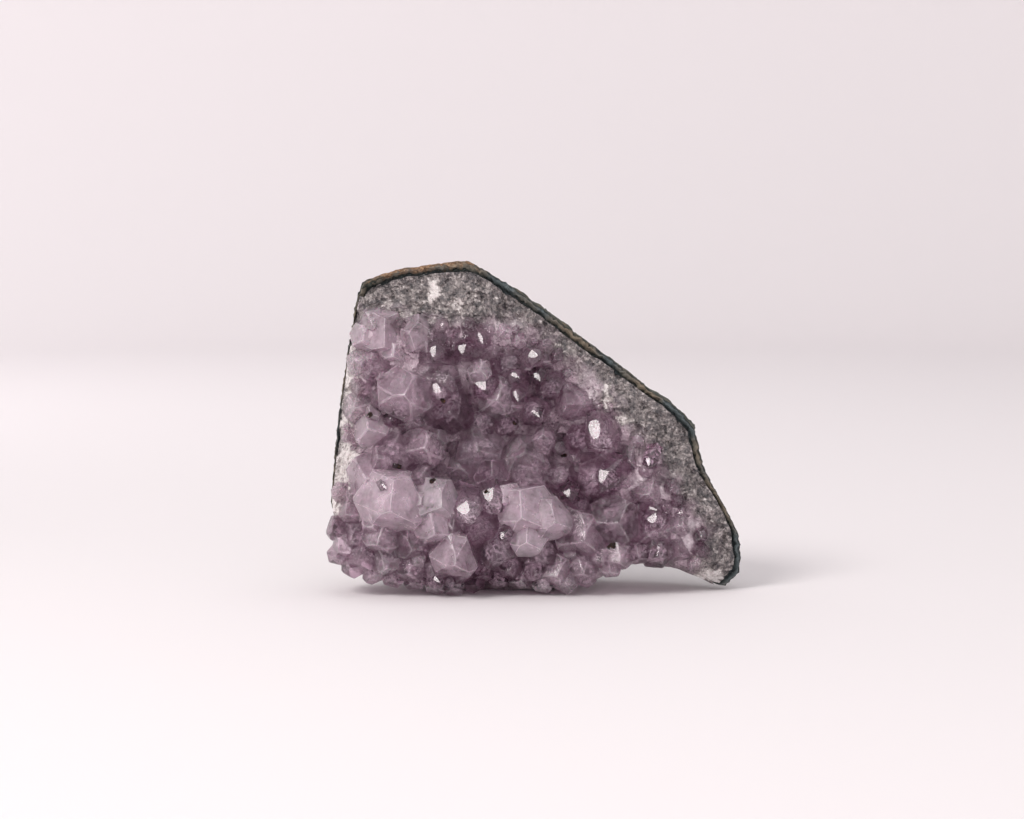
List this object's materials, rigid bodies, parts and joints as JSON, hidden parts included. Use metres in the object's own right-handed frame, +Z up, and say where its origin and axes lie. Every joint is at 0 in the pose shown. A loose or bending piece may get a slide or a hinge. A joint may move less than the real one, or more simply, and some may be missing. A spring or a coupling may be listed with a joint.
{
  "type": "amethyst cluster",
  "caption": "Broken piece of amethyst geode wall that stands on its lower edge: lilac quartz points over grey quartz and a thin dark rind.",
  "frame": {"origin": "on the floor plane, under the middle of the specimen's box", "axes": "+X to the specimen's right along its longest side, +Y from the crystals towards the rind, +Z up"},
  "size_m": [0.0902, 0.04, 0.071],
  "materials": {
    "rind": "rough earthy celadonite and weathered basalt skin with rust stains",
    "grey_quartz": "broken massive quartz, granular, grey to milky white",
    "amethyst": "clear to milky lilac quartz, glassy natural faces with frosted patches"
  },
  "bodies": {
    "root": {"rind": "rind", "quartz_base": "grey_quartz", "amethyst_crystals": "amethyst"}
  },
  "joints": []
}
